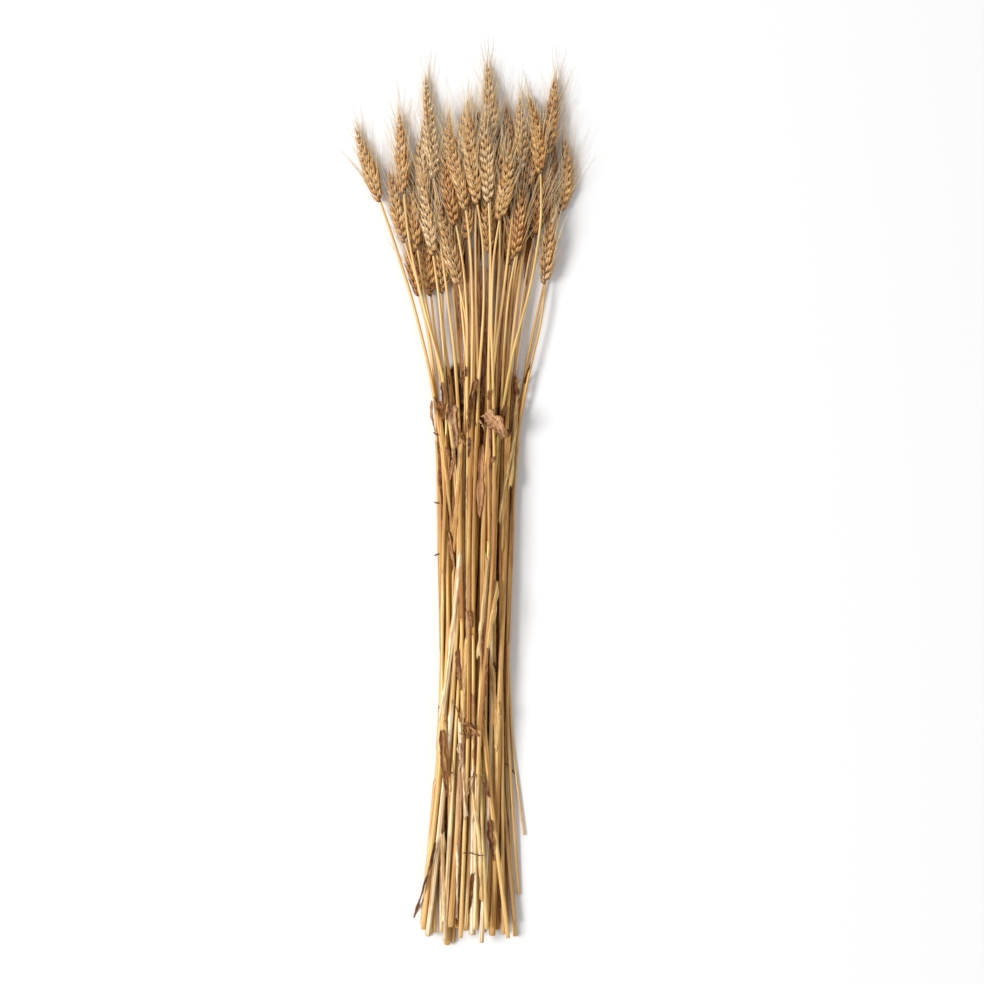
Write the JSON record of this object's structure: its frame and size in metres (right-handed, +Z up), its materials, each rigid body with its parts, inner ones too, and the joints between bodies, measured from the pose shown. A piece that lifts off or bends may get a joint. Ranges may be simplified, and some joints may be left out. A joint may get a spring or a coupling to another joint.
{
  "type": "bundle of dried wheat",
  "caption": "Bundle of dried bearded wheat lying flat: long cut straw stalks gathered close, their awned ears fanned at one end, with dried leaf scraps among the stalks.",
  "frame": {"origin": "middle of the bundle's outer box in plan, on the surface it lies on", "axes": "+Y along the stalks towards the ears, +Z up from the surface, +X to the right as the picture shows it"},
  "size_m": [0.1896, 0.6712, 0.0317],
  "materials": {
    "straw": "dry, low sheen",
    "dried_leaf": "matte, papery"
  },
  "bodies": {
    "root": {"stalk_01": "straw", "stalk_02": "straw", "stalk_03": "straw", "stalk_04": "straw", "stalk_05": "straw", "stalk_06": "straw", "stalk_07": "straw", "stalk_08": "straw", "stalk_09": "straw", "stalk_10": "straw", "stalk_11": "straw", "stalk_12": "straw", "stalk_13": "straw", "stalk_14": "straw", "stalk_15": "straw", "stalk_16": "straw", "stalk_17": "straw", "stalk_18": "straw", "stalk_19": "straw", "stalk_20": "straw", "stalk_21": "straw", "stalk_22": "straw", "stalk_23": "straw", "stalk_24": "straw", "stalk_25": "straw", "stalk_26": "straw", "stalk_27": "straw", "stalk_28": "straw", "stalk_29": "straw", "stalk_30": "straw", "stalk_31": "straw", "stalk_32": "straw", "stalk_33": "straw", "stalk_34": "straw", "stalk_35": "straw", "stalk_36": "straw", "stalk_37": "straw", "stalk_38": "straw", "stalk_39": "straw", "stalk_40": "straw", "stalk_41": "straw", "stalk_42": "straw", "leaf_01": "dried_leaf", "leaf_02": "dried_leaf", "leaf_03": "dried_leaf", "leaf_04": "dried_leaf", "leaf_05": "dried_leaf", "leaf_06": "dried_leaf", "leaf_07": "dried_leaf", "leaf_08": "dried_leaf", "leaf_09": "dried_leaf", "leaf_10": "dried_leaf", "leaf_11": "dried_leaf"}
  },
  "joints": []
}
